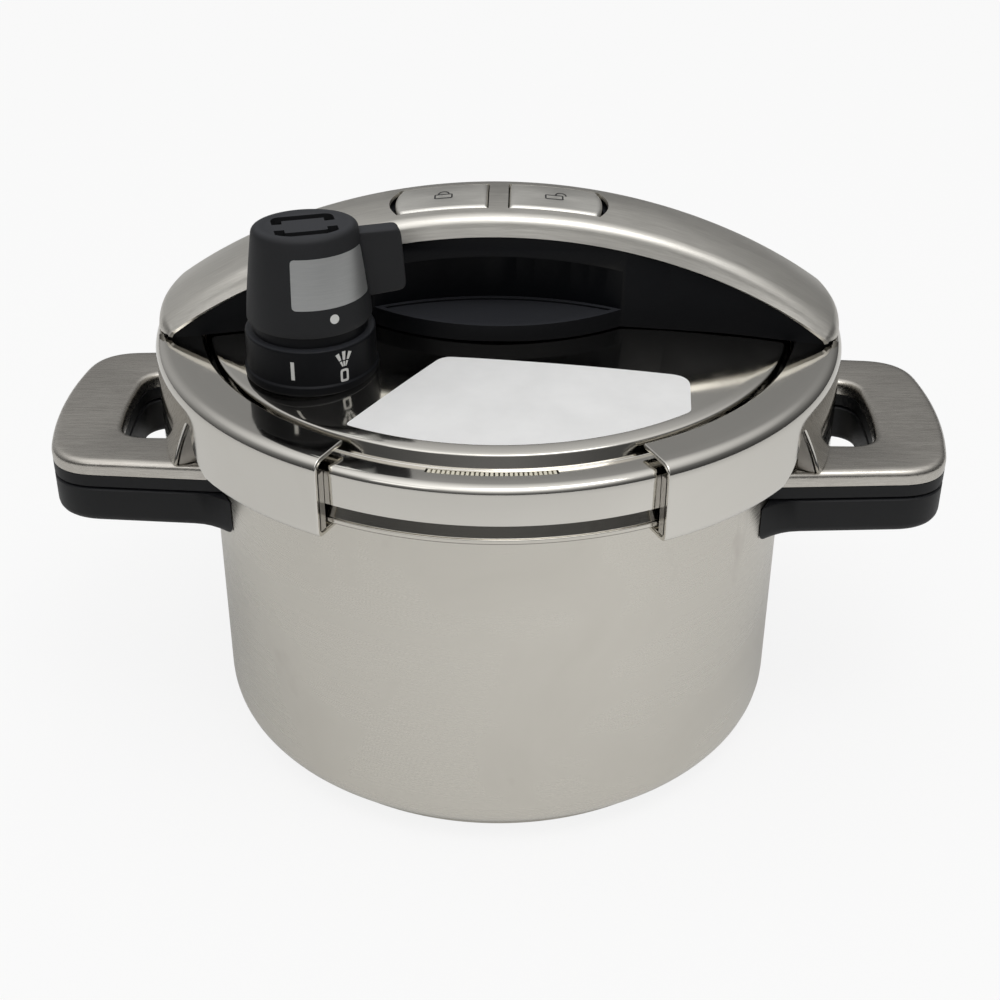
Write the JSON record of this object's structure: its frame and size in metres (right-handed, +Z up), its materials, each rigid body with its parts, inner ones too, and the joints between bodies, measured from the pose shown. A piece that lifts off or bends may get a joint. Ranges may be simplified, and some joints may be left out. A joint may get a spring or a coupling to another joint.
{
  "type": "clamp-lid pressure cooker",
  "caption": "Stovetop pressure cooker with sliding lid clamps, an arched lid handle with lock and release buttons, a turning steam regulator and loop side handles.",
  "frame": {"origin": "centre of the base disc's flat underside, on the surface the cooker stands on", "axes": "+Z up along the pot's axis, +X towards the right-hand side handle, -Y towards the front, where the steam regulator stands to the left"},
  "size_m": [0.3116, 0.2236, 0.2011],
  "materials": {
    "satin_steel": "satin-polished stainless steel wall",
    "polished_steel": "mirror-polished stainless steel sheet",
    "brushed_steel": "stainless steel sheet with a fine brushed grain",
    "plain_steel": "plain stainless steel strip, wire and screws",
    "black_plastic": "heat-resistant phenolic resin with a fine matt skin",
    "grey_plastic": "moulded nylon",
    "silicone": "moulded silicone rubber",
    "brass": "turned brass",
    "red_plastic": "moulded red plastic"
  },
  "bodies": {
    "pot": {"pot_body": "satin_steel", "base_disc": "satin_steel", "handle_bracket_right": "plain_steel", "lower_grip_right": "black_plastic", "upper_frame_right": "black_plastic", "handle_cap_right": "brushed_steel", "handle_bracket_left": "plain_steel", "lower_grip_left": "black_plastic", "upper_frame_left": "black_plastic", "handle_cap_left": "brushed_steel", "grip_screw_right_1": "plain_steel", "grip_screw_right_2": "plain_steel", "grip_screw_left_1": "plain_steel", "grip_screw_left_2": "plain_steel"},
    "lid": {"lid_pan": "polished_steel", "gasket": "silicone", "mechanism_plate": "plain_steel", "pinion_shaft": "plain_steel", "opening_spring": "plain_steel", "guide_screw_right": "plain_steel", "guide_screw_left": "plain_steel", "bridge_body": "black_plastic", "bridge_cover": "brushed_steel", "lock_spring": "plain_steel", "release_spring": "plain_steel", "regulator_collar": "black_plastic", "regulator_stem": "brass", "regulator_nut": "plain_steel", "filter_cap": "plain_steel", "indicator_grommet": "silicone", "relief_valve": "silicone"},
    "jaw_right": {"jaw_right": "polished_steel", "rack_arm_right": "plain_steel"},
    "jaw_left": {"jaw_left": "polished_steel", "rack_arm_left": "plain_steel"},
    "pinion": {"pinion": "plain_steel"},
    "lock_button": {"lock_button": "brushed_steel", "lock_plunger": "grey_plastic"},
    "release_button": {"release_button": "brushed_steel", "release_plunger": "grey_plastic"},
    "regulator_knob": {"regulator_knob": "black_plastic", "valve_spring": "plain_steel"},
    "valve": {"valve_poppet": "brass"},
    "indicator": {"indicator_pin": "red_plastic"}
  },
  "joints": [
    {"name": "lid_lift", "type": "slide", "parent": "pot", "child": "lid", "axis": [0, 0, 1], "range_m": [0, 0.15]},
    {"name": "jaw_right_slide", "type": "slide", "parent": "lid", "child": "jaw_right", "axis": [1, 0, 0], "range_m": [0, 0.01]},
    {"name": "jaw_left_slide", "type": "slide", "parent": "lid", "child": "jaw_left", "axis": [-1, 0, 0], "range_m": [0, 0.01]},
    {"name": "pinion_spin", "type": "hinge", "parent": "lid", "child": "pinion", "pos_m": [0, 0, 0.1574], "axis": [0, 0, 1], "range_deg": [-96, 0]},
    {"name": "lock_press", "type": "slide", "parent": "lid", "child": "lock_button", "axis": [0, 0, -1], "range_m": [0, 0.003], "stiffness_N_per_m": 800, "springref_m": -0.002, "deforming": ["lock_spring"]},
    {"name": "release_press", "type": "slide", "parent": "lid", "child": "release_button", "axis": [0, 0, -1], "range_m": [0, 0.003], "stiffness_N_per_m": 800, "springref_m": -0.002, "deforming": ["release_spring"]},
    {"name": "regulator_turn", "type": "hinge", "parent": "lid", "child": "regulator_knob", "pos_m": [-0.0589, -0.0442, 0.175], "axis": [0, 0, 1], "range_deg": [-42, 0]},
    {"name": "valve_lift", "type": "slide", "parent": "regulator_knob", "child": "valve", "axis": [0, 0, 1], "range_m": [0, 0.0015], "stiffness_N_per_m": 1200, "springref_m": -0.0015, "deforming": ["valve_spring"]},
    {"name": "indicator_rise", "type": "slide", "parent": "lid", "child": "indicator", "axis": [0, 0, 1], "range_m": [0, 0.005]}
  ],
  "couplings": [
    {"joint": "jaw_left_slide", "follows": "jaw_right_slide", "ratio": 1},
    {"joint": "pinion_spin", "follows": "jaw_right_slide", "rad_per_m": -166.67}
  ]
}
